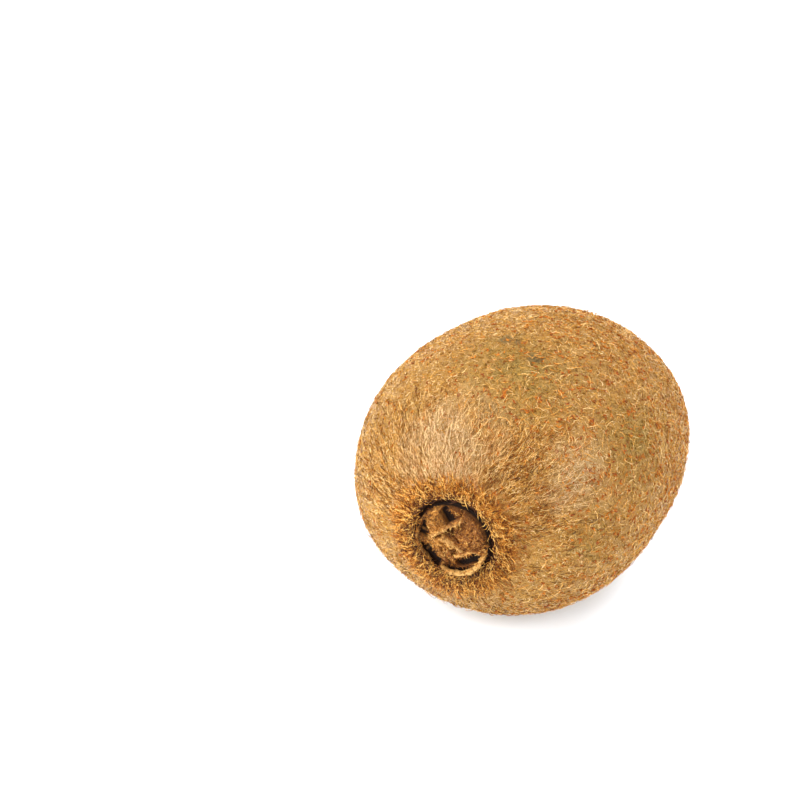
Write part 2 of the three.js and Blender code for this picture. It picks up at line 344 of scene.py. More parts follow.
def new_material(name):
    """A material, its nodes, its shader, and the place on the fruit as a vector in metres."""
    material = bpy.data.materials.new(name)
    material.use_nodes = True
    nodes = Nodes(material.node_tree)
    shader = material.node_tree.nodes["Principled BSDF"]
    place = nodes.add("ShaderNodeTexCoord").outputs["Object"]
    return material, nodes, shader, place


def fibres(nodes, place, per_metre):
    """The strands, gaps and height of the fibre tangle, with this many of its features to a metre."""
    node = nodes.add("ShaderNodeGroup", {"node_tree": fibre_tangle})
    nodes.tree.links.new(place, node.inputs["Vector"])
    node.inputs["Per Metre"].default_value = per_metre
    return node.outputs["Strands"], node.outputs["Gaps"], node.outputs["Height"]


def finish_surface(nodes, shader, colour, roughness, height, depth):
    """Joins a colour, a roughness and a height to the shader, with bumps of this depth in metres."""
    links = nodes.tree.links
    links.new(colour, shader.inputs["Base Color"])
    links.new(roughness, shader.inputs["Roughness"])
    bump = nodes.add("ShaderNodeBump", Strength=1.0, Distance=depth, Height=height)
    links.new(bump.outputs["Normal"], shader.inputs["Normal"])


# Painted highlights that make the coat paler, olive skin showing through, and scars, as middles and reaches.
HIGHLIGHT_PATCHES = [((-3.6, -27.0, 16.0), 15.0), ((19.5, -21.5, 11.0), 10.5)]
OLIVE_PATCHES = [((4.0, -11.5, 24.0), 18.0), ((25.0, -8.0, 12.0), 13.0), ((22.5, -23.0, 0.0), 8.0)]
SCARS = [((5.1, -7.6, 24.6), 2.1), ((-2.1, -3.9, 25.0), 1.9), ((0.4, -4.4, 24.9), 1.3)]


def make_patch_group():
    """Where the coat has a painted highlight, is olive or is scarred, as soft ragged masks over the fruit."""
    group, nodes, entry, leaving = new_group(
        "coat patches", {"Vector": "NodeSocketVector"}, ("Painted Highlight", "Olive", "Scar")
    )
    place = entry["Vector"]
    ragged = nodes.math("MULTIPLY", nodes.noise(place, 0.006, 3.0, 0.4, 13.0), 0.016)
    fine = nodes.math("MULTIPLY", nodes.noise(place, 0.0009, 2.0, 0.4, 23.0), 0.002)
    # Each kind of patch with the noise that frays it, what that adds to its reach, and how far its core goes.
    for socket, patches, frayed, added, core in (
        ("Painted Highlight", HIGHLIGHT_PATCHES, ragged, 0.008, 0.3),
        ("Olive", OLIVE_PATCHES, ragged, 0.008, 0.3),
        ("Scar", SCARS, fine, 0.001, 0.55),
    ):
        share = 0.0
        for middle, patch_reach in patches:
            away = nodes.distance(place, laid(np.array(middle)))
            edge = patch_reach * MM + added
            near = nodes.mask(nodes.math("ADD", away, frayed), edge, edge * core)
            share = nodes.math("MAXIMUM", share, near)
        group.links.new(share, leaving[socket])
    return group


coat_patches = make_patch_group()


def patches_at(nodes, place):
    """The painted highlight, olive and scar masks of the coat's patches."""
    node = nodes.add("ShaderNodeGroup", {"node_tree": coat_patches})
    nodes.tree.links.new(place, node.inputs["Vector"])
    return node.outputs["Painted Highlight"], node.outputs["Olive"], node.outputs["Scar"]


stem_place = laid(np.array([SEAT_X, SEAT_DEPTH - HALF_LENGTH - 1.2, SEAT_Z]))
blossom_place = laid(np.array([0, HALF_LENGTH - 1.0, 0]))


def skin_material():
    material, nodes, shader, place = new_material("hairy skin")
    strands, gaps, height = fibres(nodes, place, 2600.0)
    pale, olive, scar = patches_at(nodes, place)
    colour = nodes.blend(olive, (0.32, 0.155, 0.034), (0.18, 0.120, 0.020))
    # Painted highlight: the skin is paled in the pale patches, where the lamps' highlights fall.
    colour = nodes.tint(colour, pale, 0.8, (0.46, 0.30, 0.12))
    mottle = nodes.mask(nodes.noise(place, 0.0028, 3.0, 0.4, 9.0), 0.4, 0.7)
    colour = nodes.tint(colour, mottle, 0.5, (0.38, 0.16, 0.028))
    colour = nodes.tint(colour, gaps, 0.85, (0.10, 0.042, 0.006))
    colour = nodes.tint(colour, strands, 0.65, (0.63, 0.355, 0.09))
    colour = nodes.tint(colour, scar, 0.7, (0.09, 0.07, 0.03))
    freckle = nodes.add("ShaderNodeTexVoronoi", Vector=place, Scale=480.0)
    size = nodes.mask(nodes.noise(place, 0.004, 1.0, 0.0, 21.0), 0.3, 0.75)
    edge = nodes.math("MULTIPLY", size, 0.26)
    spot = nodes.math("MULTIPLY", nodes.math("SUBTRACT", edge, freckle.outputs["Distance"]), 14.0, clamp=True)
    colour = nodes.tint(colour, spot, 0.75, (0.28, 0.075, 0.02))
    from_stem = nodes.distance(place, stem_place)
    ragged = nodes.math(
        "ADD", from_stem, nodes.math("MULTIPLY", nodes.noise(place, 0.002, 3.0, 0.5, 40.0), 0.004)
    )
    rusty = nodes.mask(ragged, 0.0155, 0.0095)
    colour = nodes.tint(colour, rusty, 0.8, (0.24, 0.085, 0.022))
    # Painted shade: the groove round the calyx is darkened almost to black, and made rougher and less shiny.
    painted_groove_shade = nodes.mask(ragged, 0.0116, 0.0098)
    colour = nodes.blend(painted_groove_shade, colour, (0.028, 0.014, 0.009))
    from_blossom = nodes.math(
        "ADD",
        nodes.distance(place, blossom_place),
        nodes.math("MULTIPLY", nodes.noise(place, 0.003, 3.0, 0.5, 55.0), 0.006),
    )
    colour = nodes.blend(nodes.mask(from_blossom, 0.0175, 0.010), colour, (0.38, 0.14, 0.022))
    colour = nodes.blend(nodes.mask(from_blossom, 0.0085, 0.0055), colour, (0.12, 0.045, 0.015))
    roughness = nodes.math("ADD", 0.42, nodes.math("MULTIPLY", nodes.math("MAXIMUM", gaps, painted_groove_shade), 0.4))
    finish_surface(nodes, shader, colour, roughness, height, 0.0001)
    # The skin's specular is also raised where the highlight is painted.
    shine = nodes.math("ADD", 0.2, nodes.math("MULTIPLY", pale, 0.5))
    shine = nodes.math("MULTIPLY", nodes.math("SUBTRACT", 1.0, painted_groove_shade), shine)
    nodes.tree.links.new(shine, shader.inputs["Specular IOR Level"])
    return material


berry_points = grown_skin(berry_along, berry_around)[0].reshape(-1, 3)
berry_ends = np.array([[SEAT_X, SEAT_DEPTH - HALF_LENGTH, SEAT_Z], [0, HALF_LENGTH - STYLE_SEAT_DEPTH, 0]])
berry_points = laid(np.concatenate([berry_points, berry_ends]))
berry_points[:, 2] = np.maximum(berry_points[:, 2], 0)
berry_faces = ring_faces(len(berry_rows), BERRY_SIDES)
berry = mesh_piece("berry_skin", berry_points, berry_faces, skin_material())
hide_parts("berry")
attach(berry, "root")

# The calyx: dried sepals folded flat and grown fast to the woody scar of the stalk, rusty brown and felted,
# with golden edges. They have cracked apart as they dried, and two have rolled up into lips at the rim.
SEAT_GAP = 0.05
CALYX_SIDES = 260
CALYX_RINGS = 96
CALYX_FLOOR_RADIUS = 6.75
CALYX_CRUMPLES = [(0.2, 1.1, 14), (0.14, 0.45, 15), (0.07, 0.22, 19)]
# The cap's edge, as radii at angles in degrees from +X, seen from the stem side.
CAP_EDGE = [
    (-140, 4.6), (-112, 5.1), (-95, 5.5), (-75, 6.0), (-50, 6.3), (-20, 6.4), (0, 6.35), (60, 6.35),
    (90, 6.2), (120, 6.5), (142, 6.5), (158, 5.3), (180, 4.5),
]
# Each sepal as the line that its crown follows, how far it reaches to the side, and its height.
SEPAL_CROWNS = {
    "long left": ([(-3.6, 5.0), (-3.7, 3.0), (-3.2, 1.0), (-2.9, -1.2), (-2.0, -3.2)], 2.1, 2.25),
    "broad right": ([(5.2, 3.4), (4.4, 1.2), (3.2, 0.2)], 3.3, 2.3),
    "right top": ([(2.6, 5.4), (3.6, 3.8)], 2.0, 2.1),
    "short top": ([(-1.4, 6.2), (0.6, 6.2), (1.2, 5.2)], 0.8, 2.0),
    "crack edge": ([(-3.4, 0.5), (-2.0, 1.8), (-0.6, 2.7), (0.8, 3.65), (2.1, 4.6)], 0.5, 3.1),
    "broken middle": ([(-1.65, 0.4), (-0.8, -0.15), (0.15, -0.8)], 0.8, 2.9),
    "broken right": ([(1.2, -0.9), (2.0, -1.7)], 0.5, 2.85),
    "broken low": ([(-0.8, -2.6), (0.0, -3.8)], 0.6, 2.2),
    "low left": ([(-2.6, -3.0), (-1.2, -4.6)], 0.6, 1.9),
    "hollow edge": ([(0.9, -2.8), (2.3, -2.2), (3.7, -1.55), (5.4, -1.4)], 0.4, 2.9),
}
# Cracks and hollows as the lines that they follow, their half widths and their depths.
CALYX_CUTS = [
    ([(-1.15, 5.0), (-0.8, 4.4), (-0.15, 3.45)], 1.05, 3.2),
    ([(-3.2, -0.05), (-1.7, 1.2), (-0.3, 2.05), (1.2, 3.0)], 0.3, 1.5),
    ([(-0.3, 2.2), (0.3, 0.8), (1.3, 0.0)], 0.3, 1.0),
    ([(-2.0, -0.6), (-1.0, -1.5), (0.1, -2.0), (0.9, -2.1)], 0.4, 1.1),
    ([(1.4, -4.2), (3.2, -3.3), (4.9, -2.5)], 1.05, 2.3),
    ([(0.1, -2.9), (0.75, -3.2)], 0.35, 1.2),
    ([(-2.2, -2.0), (-1.7, -3.2), (-0.6, -4.4)], 0.22, 0.7),
    ([(1.8, 6.6), (1.9, 5.2), (1.7, 4.6)], 0.22, 0.7),
    ([(3.2, -0.4), (4.0, 0.8), (5.6, 1.2)], 0.16, 0.4),
    ([(-4.4, 3.4), (-3.2, 3.0), (-2.4, 1.6)], 0.16, 0.4),
]
# Crumpled bridges that are left standing: the crack's sharp edge beside the slit, and low ones from the cap's
# edge over the trench to the seat's wall.
CALYX_BRIDGES = [
    ([(-2.0, 1.85), (-0.6, 2.75), (0.8, 3.65), (2.1, 4.6)], 0.4, 2.75),
    ([(-6.7, -1.2), (-5.4, -1.6), (-4.2, -1.4)], 0.9, 1.35),
    ([(-2.6, -5.9), (-1.4, -5.4), (0.4, -5.5)], 0.5, 1.0),
    ([(-6.6, 2.6), (-5.4, 3.2)], 0.8, 1.2),
    ([(-6.2, 0.6), (-5.4, 0.2)], 0.5, 0.7),
    ([(-5.6, -3.6), (-4.8, -3.0)], 0.4, 0.6),
]


def line_distance(x, z, line):
    """The distance from points of the plan to a broken line."""
    nearest = np.full(np.shape(x), np.inf)
    for (x0, z0), (x1, z1) in zip(line, line[1:]):
        dx, dz = x1 - x0, z1 - z0
        share = np.clip(((x - x0) * dx + (z - z0) * dz) / (dx * dx + dz * dz), 0, 1)
        nearest = np.minimum(nearest, np.hypot(x - x0 - share * dx, z - z0 - share * dz))
    return nearest


def calyx_points(x, z, height):
    """Points over the seat's floor, in the fruit's own frame."""
    return np.stack([SEAT_X + x, SEAT_DEPTH - HALF_LENGTH - SEAT_GAP - height, SEAT_Z + z], -1)


def cap_height(x, z):
    """The height of the dried cap over the seat's floor, at points of its plan."""
    plan = np.stack([x, z, np.zeros_like(x)], -1)
    wobble_x = x + 0.22 * noise_at(plan, 1.3, 11)
    wobble_z = z + 0.22 * noise_at(plan, 1.3, 12)
    angle = np.degrees(np.arctan2(z, x))
    edge = np.interp(angle, [a for a, _ in CAP_EDGE], [r for _, r in CAP_EDGE], period=360)
    edge = edge + 0.15 * noise_at(plan, 0.9, 13)
    outward = (np.hypot(x, z) / CALYX_FLOOR_RADIUS) ** 2
    height = 1.6 - 0.7 * outward
    for line, reach, top in SEPAL_CROWNS.values():
        off = line_distance(wobble_x, wobble_z, line) / reach
        crown = top - 0.7 * np.clip(off, 0, 1) ** 2 - 0.6 * outward
        height = np.maximum(height, np.where(off < 1, crown, 0))
    for line, half_width, depth in CALYX_CUTS:
        off = line_distance(wobble_x, wobble_z, line)
        height = height - depth * (1 - smooth_step(off, half_width * 0.55, half_width * 1.2))
    crumple = lumps_at(plan, CALYX_CRUMPLES)
    off_edge = smooth_step(np.hypot(x, z), edge - 0.3, edge + 0.2)
    height = mix(np.maximum(height + crumple, 0.25), 0.2, off_edge)
    for line, reach, top in CALYX_BRIDGES:
        off = line_distance(wobble_x, wobble_z, line) / reach
        height = np.maximum(height, (top + crumple) * (1 - smooth_step(off, 0.5, 1.0)))
    return height


cap_floor = laid(calyx_points(0.0, 0.0, 0.0))
cap_way_out = unit(laid(calyx_points(0.0, 0.0, 1.0)) - cap_floor)


def calyx_material(name, tone, edge_tone):
    """Felted dry sepal, more golden to its left, with painted highlight on its heights and painted shade low
    down and in its cracks.
    """
    material, nodes, shader, place = new_material(name)
    strands, gaps, height = fibres(nodes, place, 2200.0)
    sideways = nodes.vector_math("DOT_PRODUCT", place, (-140.0, 0.0, 0.0))
    patches = nodes.math("ADD", nodes.noise(place, 0.0016, 3.0, 0.6, 5.0), sideways)
    colour = nodes.blend(nodes.mask(patches, 0.5, 1.0), tone, edge_tone)
    colour = nodes.tint(colour, gaps, 0.9, (0.03, 0.012, 0.005))
    colour = nodes.tint(colour, strands, 0.6, (0.56, 0.28, 0.09))
    from_floor = nodes.vector_math("SUBTRACT", place, tuple(cap_floor), "Vector")
    along_stalk = nodes.vector_math("DOT_PRODUCT", from_floor, tuple(cap_way_out))
    # Painted highlight: the cap is paled where it stands high.
    painted_height_highlight = nodes.mask(along_stalk, 0.0022, 0.0028)
    colour = nodes.tint(colour, painted_height_highlight, 0.6, (0.62, 0.35, 0.11))
    # Painted shade: the cap is darkened low down, and nearly black at the bottom of its cracks.
    painted_low_shade = nodes.mask(along_stalk, 0.0022, 0.0011)
    colour = nodes.tint(colour, painted_low_shade, 0.65, (0.075, 0.024, 0.006))
    painted_crack_shade = nodes.mask(along_stalk, 0.0009, 0.0003)
    colour = nodes.blend(painted_crack_shade, colour, (0.014, 0.006, 0.003))
    roughness = nodes.math("ADD", 0.7, nodes.math("MULTIPLY", gaps, 0.2))
    finish_surface(nodes, shader, colour, roughness, height, 0.0001)
    shader.inputs["Specular IOR Level"].default_value = 0.15
    return material


dried_sepal = calyx_material("dried sepal", (0.22, 0.066, 0.011), (0.50, 0.21, 0.034))
cap_radius, cap_turn = ring_lattice(np.linspace(0.05, CALYX_FLOOR_RADIUS, CALYX_RINGS), CALYX_SIDES)
cap_x, cap_z = cap_radius * np.cos(cap_turn), cap_radius * np.sin(cap_turn)
cap_top = calyx_points(cap_x, cap_z, cap_height(cap_x, cap_z))
skirt = calyx_points(cap_x[-1], cap_z[-1], np.zeros(CALYX_SIDES))
cap_ends = np.array([cap_top[0].mean(0), calyx_points(0.0, 0.0, 0.0)])
cap_points = laid(np.concatenate([cap_top.reshape(-1, 3), skirt, cap_ends]))
cap_faces = ring_faces(CALYX_RINGS + 1, CALYX_SIDES)[:, ::-1]
cap = mesh_piece("calyx_cap", cap_points, cap_faces, dried_sepal)
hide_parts("calyx")
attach(cap, "root")

# The rolled lips: two sepal edges that have curled up and thickened along the rim of the cap, paler and
# more golden than the rest.
LIP_STEPS = 60
LIP_SIDES = 12
# Each lip's line, as places in the plan and heights, its half width and its half height.
LIP_LINES = {
    "low_lip": (
        [
            (-2.5, -6.0, 1.2), (-0.9, -6.35, 1.9), (1.1, -6.25, 2.2), (3.0, -5.65, 2.2),
            (4.6, -4.5, 2.0), (5.7, -2.9, 1.7), (6.3, -1.0, 1.4), (6.5, 0.3, 1.1),
        ],
        0.45, 0.75,
    ),
    "left_lip": (
        [
            (-5.9, 3.2, 0.9), (-6.7, 0.9, 1.2), (-6.8, -0.9, 1.3),
            (-6.5, -2.4, 1.3), (-5.6, -4.1, 1.2), (-4.4, -5.3, 1.0),
        ],
        0.09, 0.55,
    ),
}


def smooth_line(points, steps):
    """A smooth line through points, by Catmull-Rom."""
    points = np.asarray(points, float)
    padded = np.concatenate([[2 * points[0] - points[1]], points, [2 * points[-1] - points[-2]]])
    where = np.linspace(0, len(points) - 1 - 1e-6, steps)
    start = where.astype(int)
    share = (where - start)[:, None]
    a, b, c, d = (padded[start + step] for step in range(4))
    return 0.5 * (
        2 * b + (c - a) * share + (2 * a - 5 * b + 4 * c - d) * share**2 + (3 * b - a - 3 * c + d) * share**3
    )


def lip_mesh(line, half_width, half_height):
    """A rolled lip: an upright oval section along a line, thinning to both ends, with a crumpled surface."""
    middle = smooth_line(line, LIP_STEPS)
    heading = unit(np.gradient(middle, axis=0) * [1, 1, 0])
    side = np.stack([-heading[:, 1], heading[:, 0], np.zeros(LIP_STEPS)], -1)
    girth = 0.35 + 0.65 * np.sqrt(np.sin(np.linspace(0.03, 0.97, LIP_STEPS) * math.pi))
    turn = np.linspace(0, 2 * math.pi, LIP_SIDES, endpoint=False)
    ring = middle[:, None] + (
        side[:, None] * (np.cos(turn) * half_width)[None, :, None]
        + np.array([0, 0, 1.0])[None, None] * (np.sin(turn) * half_height)[None, :, None]
    ) * girth[:, None, None]
    ring = ring + 0.2 * noise_at(ring, 0.6, 16)[..., None] * side[:, None]
    ring[..., 2] += 0.36 * noise_at(ring, 0.6, 17)
    points = np.concatenate([ring.reshape(-1, 3), middle[[0, -1]]])
    return laid(calyx_points(*points.T)), ring_faces(LIP_STEPS, LIP_SIDES)


golden_lip = calyx_material("golden lip", (0.58, 0.31, 0.085), (0.62, 0.33, 0.09))
for lip_name, (line, half_width, half_height) in LIP_LINES.items():
    lip_points, lip_faces = lip_mesh(line, half_width, half_height)
    lip = mesh_piece(lip_name, lip_points, lip_faces, golden_lip)
    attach(lip, "root")

# The withered styles: the dry remains of the flower's styles, a low dark nub with a crown of short bent
# threads, grown in the dimple of the blossom end.
STYLE_COUNT = 34
STYLE_SIDES = 7
STYLE_STEPS = 12
NUB_RADIUS = 2.1
NUB_HEIGHT = 1.0
NUB_RINGS = 14
NUB_SIDES = 48
GOLDEN_ANGLE = math.pi * (3 - math.sqrt(5))


def style_points(x, z, height):
    return np.stack([x, HALF_LENGTH - STYLE_SEAT_DEPTH + SEAT_GAP + height, z], -1)


def tube(middle, girth, sides):
    """Rings of points round a line, with the given girth at each step."""
    way = unit(np.gradient(middle, axis=0))
    across = unit(np.cross(way, [0.3, 0.2, 1.0]))
    other = np.cross(way, across)
    turn = np.linspace(0, 2 * math.pi, sides, endpoint=False)
    return middle[:, None] + girth[:, None, None] * (
        across[:, None] * np.cos(turn)[None, :, None] + other[:, None] * np.sin(turn)[None, :, None]
    )


def styles_mesh():
    """A low round nub, and bent threads that start from it in the spiral of a sunflower's seeds."""
    rng = np.random.default_rng(5)
    nub_radius, nub_turn = ring_lattice(np.linspace(0.1, 1, NUB_RINGS), NUB_SIDES)
    x = NUB_RADIUS * nub_radius * np.cos(nub_turn)
    z = NUB_RADIUS * nub_radius * np.sin(nub_turn)
    height = NUB_HEIGHT * np.sqrt(np.clip(1.02 - nub_radius**2, 0, 1))
    height = height + 0.15 * noise_at(np.stack([x, z, height], -1), 0.6, 18)
    nub_ends = style_points(np.zeros(2), np.zeros(2), np.array([NUB_HEIGHT, 0.0]))
    points = [style_points(x, z, height).reshape(-1, 3), nub_ends]
    faces = [ring_faces(NUB_RINGS, NUB_SIDES)]
    used = NUB_RINGS * NUB_SIDES + 2
    for index in range(STYLE_COUNT):
        turn = index * GOLDEN_ANGLE
        inner = NUB_RADIUS * 0.85 * math.sqrt((index + 0.5) / STYLE_COUNT)
        reach = rng.uniform(0.6, 2.2)
        bend = turn + rng.uniform(-0.9, 0.9)
        start = np.array([inner * math.cos(turn), inner * math.sin(turn), 0.4])
        lift = rng.uniform(0.9, 1.7)
        line = np.array(
            [
                start,
                start + [0.1 * math.cos(turn), 0.1 * math.sin(turn), lift * 0.6],
                start + [0.5 * reach * math.cos(turn), 0.5 * reach * math.sin(turn), lift],
                start + [reach * math.cos(bend), reach * math.sin(bend), lift * rng.uniform(0.5, 0.9)],
            ]
        )
        middle = smooth_line(line, STYLE_STEPS)
        girth = np.linspace(0.24, 0.12, STYLE_STEPS) * rng.uniform(0.8, 1.25)
        rings = tube(middle, girth, STYLE_SIDES)
        thread = np.concatenate([rings.reshape(-1, 3), middle[[0, -1]]])
        points.append(style_points(*thread.T))
        faces.append(ring_faces(STYLE_STEPS, STYLE_SIDES) + used)
        used += len(thread)
    return laid(np.concatenate(points)), np.concatenate(faces)


def style_material():
    material, nodes, shader, place = new_material("withered style")
    strands, gaps, height = fibres(nodes, place, 2600.0)
    colour = nodes.tint((0.05, 0.020, 0.009), strands, 0.6, (0.20, 0.085, 0.03))
    roughness = nodes.math("ADD", 0.75, nodes.math("MULTIPLY", gaps, 0.2))
    finish_surface(nodes, shader, colour, roughness, height, 0.00008)
    shader.inputs["Specular IOR Level"].default_value = 0.15
    return material


style_points_laid, style_faces = styles_mesh()
styles = mesh_piece("withered_styles", style_points_laid, style_faces, style_material())
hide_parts("styles")
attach(styles, "root")

# The coat of hairs: short stiff curly hairs, golden brown, with shorter and straighter ones between them.
# They grow out of the skin all over, so many that they hide most of it.
COAT_PIECES = 2
COAT_HAIRS = 16500
SHORT_HAIRS = 49000
HAIR_SIDES = 3
ROOT_DEPTH = 0.07
# How far a hair strays to a side at each step, and the shares of its lift and its girth that it loses.
HAIR_WIGGLE = 0.35
HAIR_SINK = 1.15
HAIR_THINNING = 0.6
# How far above the table the hairs are kept, in metres.
HAIR_CLEARANCE = 0.00003
# The steps of the lattice that hairs are placed on, each way, and what stands for a radius on the other half.
PLACES = 420
FAR_OFF = 99.0
# The shares of the hairs that each tone gives way to the next over.
TONE_STEPS = [(0.24, 0.34), (0.5, 0.6), (0.78, 0.88)]


def hair_strands(roots, normals, headings, length, girth, lift, curl, steps, seed):
    """Tapered strands, open at the buried root. Each leaves the skin at its lift, sinks and curls aside."""
    rng = np.random.default_rng(seed)
    count = len(roots)
    sideways = np.cross(normals, headings)
    at = roots - normals * ROOT_DEPTH
    rings = []
    turn = np.arange(HAIR_SIDES) * 2 * math.pi / HAIR_SIDES
    wiggle = rng.normal(0, HAIR_WIGGLE, (count, steps))
    for step in range(steps):
        share = step / max(steps - 1, 1)
        rise = lift * (1 - HAIR_SINK * share)
        veer = curl * share + wiggle[:, step]
        ahead = headings * np.cos(veer)[:, None] + sideways * np.sin(veer)[:, None]
        way = ahead * np.cos(rise)[:, None] + normals * np.sin(rise)[:, None]
        across = unit(np.cross(way, normals + 1e-3))
        other = np.cross(way, across)
        thick = (girth / 2 * (1 - HAIR_THINNING * step / steps))[:, None, None]
        spread = across[:, None] * np.cos(turn)[:, None] + other[:, None] * np.sin(turn)[:, None]
        rings.append(at[:, None] + thick * spread)
        at = at + way * (length / steps)[:, None]
    points = np.concatenate([*rings, at[:, None]], 1)
    per_hair = steps * HAIR_SIDES + 1
    faces = []
    for step in range(steps):
        for side in range(HAIR_SIDES):
            a, b = step * HAIR_SIDES + side, step * HAIR_SIDES + (side + 1) % HAIR_SIDES
            if step == steps - 1:
                faces.append((a, b, per_hair - 1))
            else:
                faces.append((a, b, b + HAIR_SIDES))
                faces.append((a, b + HAIR_SIDES, a + HAIR_SIDES))
    faces = np.array(faces)[None] + (np.arange(count) * per_hair)[:, None, None]
    tones = np.repeat(rng.random(count), per_hair)
    return points.reshape(-1, 3), faces.reshape(-1, 3), tones


place_edges = np.linspace(0.02, math.pi - 0.02, PLACES + 1)
place_along, place_around = np.meshgrid(
    (place_edges[1:] + place_edges[:-1]) / 2,
    (np.arange(PLACES) + 0.5) / PLACES * 2 * math.pi,
    indexing="ij",
)
place_area = np.linalg.norm(np.cross(*skin_steps(place_along, place_around, 0.003)), axis=-1)


def end_radii(along, around):
    """How far places are from each end's line, the stem's first, or far off on the other end's half."""
    section, _, _ = skin_section(along, around)
    at_stem = along < math.pi / 2
    radius = section * END_RADIUS
    return np.where(at_stem, radius, FAR_OFF), np.where(at_stem, FAR_OFF, radius)


stem_radius, blossom_radius = end_radii(place_along, place_around)


def scattered(count, seed, weight):
    """Random places over the skin, in shares set by its area and by weight, as angles."""
    rng = np.random.default_rng(seed)
    chance = (place_area * weight).ravel()
    chosen = rng.choice(chance.size, count, p=chance / chance.sum())
    along = place_along.ravel()[chosen] + (rng.random(count) - 0.5) * (place_edges[1] - place_edges[0])
    around = place_around.ravel()[chosen] + (rng.random(count) - 0.5) * (2 * math.pi / PLACES)
    return along, around, rng


def hair_piece(
    name, along, around, headings, rng, length, girth, lift, curl, steps, seed, material, size=1
):
    """Hairs rooted in the skin at these places, kept off the surface that the fruit lies on.

    Lengths, girths and lifts are drawn between two ends each, and curls by their spread. Lengths may be given
    hair by hair instead.
    """
    count = len(along)
    if isinstance(length, tuple):
        length = rng.uniform(*length, count) * size
    girth = rng.uniform(*girth, count) * size
    lift = rng.uniform(*lift, count)
    curl = rng.normal(0, curl, count)
    roots, normals = grown_skin(along, around)
    points, faces, tones = hair_strands(roots, normals, headings, length, girth, lift, curl, steps, seed)
    points = laid(points)
    points[:, 2] = np.maximum(points[:, 2], HAIR_CLEARANCE)
    piece = mesh_piece(name, points, faces, material, tones)
    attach(piece, "root")


def hair_material(name, tones, on_coat=False, dark_ring=None):
    """Hair in four tones, from its darkest to its palest, strand by strand.

    A dark ring is given as where it ends, where it is full, and the share of the hairs that turn dark in it.
    """
    material, nodes, shader, place = new_material(name)
    own = nodes.add("ShaderNodeAttribute", {"attribute_name": "tone"}).outputs["Fac"]
    clump = nodes.math("SUBTRACT", nodes.noise(place, 0.0005, 1.0, 0.0, 61.0), 0.5)
    own = nodes.math("ADD", own, clump)
    colour = tones[0]
    for tone, (low, high) in zip(tones[1:], TONE_STEPS):
        colour = nodes.blend(nodes.mask(own, low, high), colour, tone)
    if on_coat:
        pale, olive, scar = patches_at(nodes, place)
        lit = nodes.mask(own, 0.35, 0.6)
        olive_tone = nodes.blend(lit, (0.10, 0.062, 0.005), (0.37, 0.178, 0.020))
        colour = nodes.tint(colour, olive, 0.75, olive_tone)
        # Painted highlight: in the same pale patches the coat's hairs are paled, each by its own tone.
        pale_highlight_tone = nodes.blend(lit, (0.46, 0.26, 0.08), (0.84, 0.65, 0.40))
        colour = nodes.tint(colour, pale, 0.6, pale_highlight_tone)
        colour = nodes.tint(colour, scar, 0.75, (0.13, 0.10, 0.04))
    ragged = nodes.math("MULTIPLY", nodes.noise(place, 0.0016, 2.0, 0.3, 47.0), 0.006)
    from_stem = nodes.math("ADD", nodes.distance(place, stem_place), ragged)
    if on_coat:
        tuft = nodes.mask(nodes.noise(place, 0.0013, 1.0, 0.0, 83.0), 0.35, 0.65)
        rusty = nodes.math("MULTIPLY", nodes.mask(from_stem, 0.0178, 0.0130), tuft)
        colour = nodes.blend(rusty, colour, (0.42, 0.145, 0.026))
    if dark_ring:
        outer, inner, share = dark_ring
        among_dark = nodes.mask(own, share + 0.07, share - 0.07)
        dark = nodes.math("MULTIPLY", nodes.mask(from_stem, outer, inner), among_dark)
        colour = nodes.blend(dark, colour, (0.065, 0.022, 0.009))
    links = nodes.tree.links
    links.new(colour, shader.inputs["Base Color"])
    links.new(nodes.math("ADD", 0.4, nodes.math("MULTIPLY", own, 0.2)), shader.inputs["Roughness"])
    shader.inputs["Specular IOR Level"].default_value = 0.1
    return material


golden_hair = hair_material(
    "golden hair",
    [(0.15, 0.053, 0.006), (0.41, 0.176, 0.021), (0.63, 0.350, 0.080), (0.82, 0.575, 0.28)],
    on_coat=True,
    dark_ring=(0.0155, 0.0112, 0.45),
)


def turned_headings(along, around, turn, way=1):
    """Headings at these angles to the way to the blossom end, or to the stem end if way is -1."""
    _, lengthways, roundways = skin_directions(along, around)
    return way * lengthways * np.cos(turn)[:, None] + roundways * np.sin(turn)[:, None]


# The groove lies open on its upper right, where the hairs start farther out.
open_side = smooth_step(np.cos(place_around - math.radians(62)), -0.3, 0.6)
coat_start = 7.6 + 0.4 * open_side
coat_weight = smooth_step(stem_radius, coat_start, coat_start + 1.4) * smooth_step(blossom_radius, 2.5, 4.5)


def coat_headings(along, around, rng):
    """Headings that run outwards from the stem end over the fruit's upper half, and any way elsewhere."""
    from_stem, _ = end_radii(along, around)
    off_streaks = np.maximum(smooth_step(from_stem, 9, 18), 0.8 - smooth_step(np.sin(around), 0.0, 0.85))
    turn = rng.uniform(-math.pi, math.pi, len(along)) * mix(0.16, 1.0, off_streaks)
    return turned_headings(along, around, turn)


for coat in range(COAT_PIECES):
    along, around, rng = scattered(COAT_HAIRS, 100 + coat, coat_weight)
    hair_piece(
        f"coat_{coat}",
        along,
        around,
        coat_headings(along, around, rng),
        rng,
        length=rng.gamma(6.0, 0.168, COAT_HAIRS).clip(0.5, 2.1),
        girth=(0.10, 0.18),
        lift=(0.12, 0.6),
        curl=1.4,
        steps=2,
        seed=200 + coat,
        material=golden_hair,
    )

along, around, rng = scattered(SHORT_HAIRS, 102, coat_weight)
hair_piece(
    "coat_short",
    along,
    around,
    coat_headings(along, around, rng),
    rng,
    length=(0.4, 0.95),
    girth=(0.10, 0.17),
    lift=(0.15, 0.7),
    curl=0.5,
    steps=1,
    seed=202,
    material=golden_hair,
)

# Among the coat: single longer strands, paler and bent, and little clusters of short red-brown hairs that
# show as freckles. All of them grow out of the skin like the coat.
LONG_HAIRS = 3600
CLUSTERS = 2700
CLUSTER_HAIRS = 3
# How far a cluster's hairs stray from its middle, as an angle.
CLUSTER_SPREAD = 0.003

